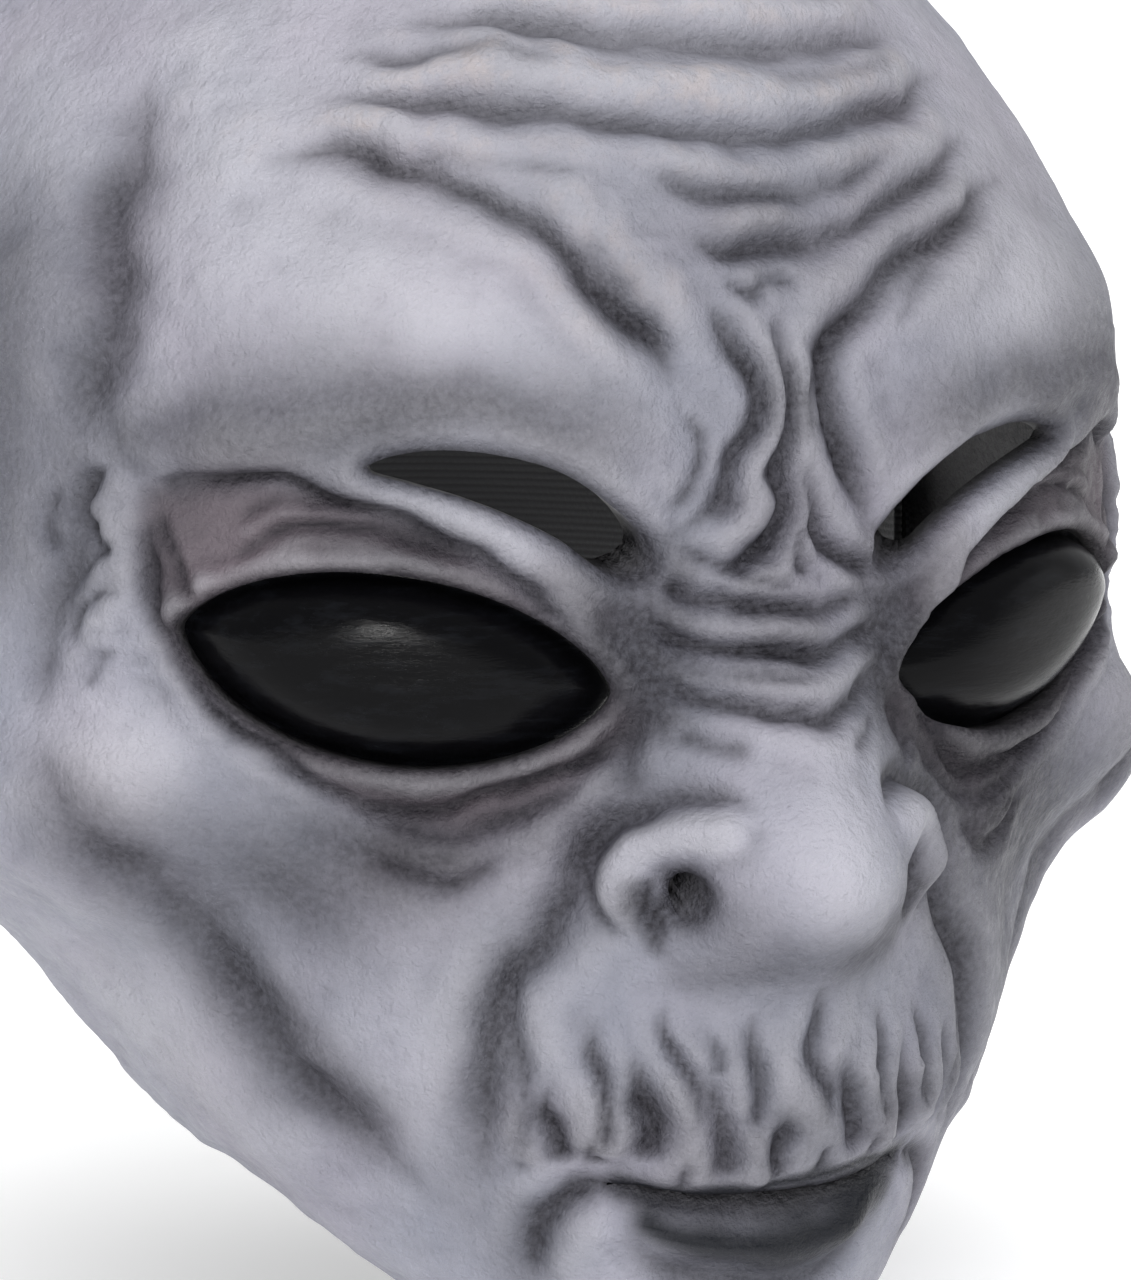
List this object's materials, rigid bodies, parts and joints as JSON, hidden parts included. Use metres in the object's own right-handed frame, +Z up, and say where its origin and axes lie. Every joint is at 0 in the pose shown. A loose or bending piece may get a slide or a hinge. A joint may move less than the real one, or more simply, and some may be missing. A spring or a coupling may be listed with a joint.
{
  "type": "latex halloween mask",
  "caption": "Grey alien over-the-face latex mask: hollow moulded skin, domed eyes, view slits, foam fitting pads and a riveted elastic head strap with a slider.",
  "frame": {"origin": "centre of the wearer's head, which is what holds the mask up", "axes": "+Z up, the face looks along -Y, +X to the right when the mask is seen from the front"},
  "size_m": [0.2014, 0.2418, 0.2327],
  "materials": {
    "latex": "matt painted latex, airbrushed charcoal in the folds",
    "eye_gloss": "glossy black with fine scuffs",
    "foam": "open-cell foam",
    "patch": "woven reinforcement glued to the latex",
    "metal": "nickel-plated steel",
    "elastic": "ribbed woven elastic",
    "slider_plastic": "satin moulded plastic"
  },
  "bodies": {
    "mask": {"latex_skin": "latex", "eye_dome_right": "eye_gloss", "eye_dome_left": "eye_gloss", "brow_pad": "foam", "crown_pad": "foam", "temple_pad_right": "foam", "temple_pad_left": "foam", "cheek_pad_right": "foam", "cheek_pad_left": "foam", "chin_pad": "foam", "anchor_patch_right": "patch", "anchor_patch_left": "patch", "washer_right": "metal", "washer_left": "metal", "rivet_right": "metal", "rivet_left": "metal"},
    "strap": {"strap_band": "elastic", "eyelet_right": "metal", "eyelet_left": "metal"},
    "slider": {"strap_slider": "slider_plastic"}
  },
  "joints": [
    {"name": "strap_swing", "type": "hinge", "parent": "mask", "child": "strap", "pos_m": [0, 0.018, 0.008], "axis": [1, 0, 0], "range_deg": [-20, 50]},
    {"name": "slider_travel", "type": "slide", "parent": "strap", "child": "slider", "axis": [1, 0, 0], "range_m": [-0.02, 0.02]}
  ]
}
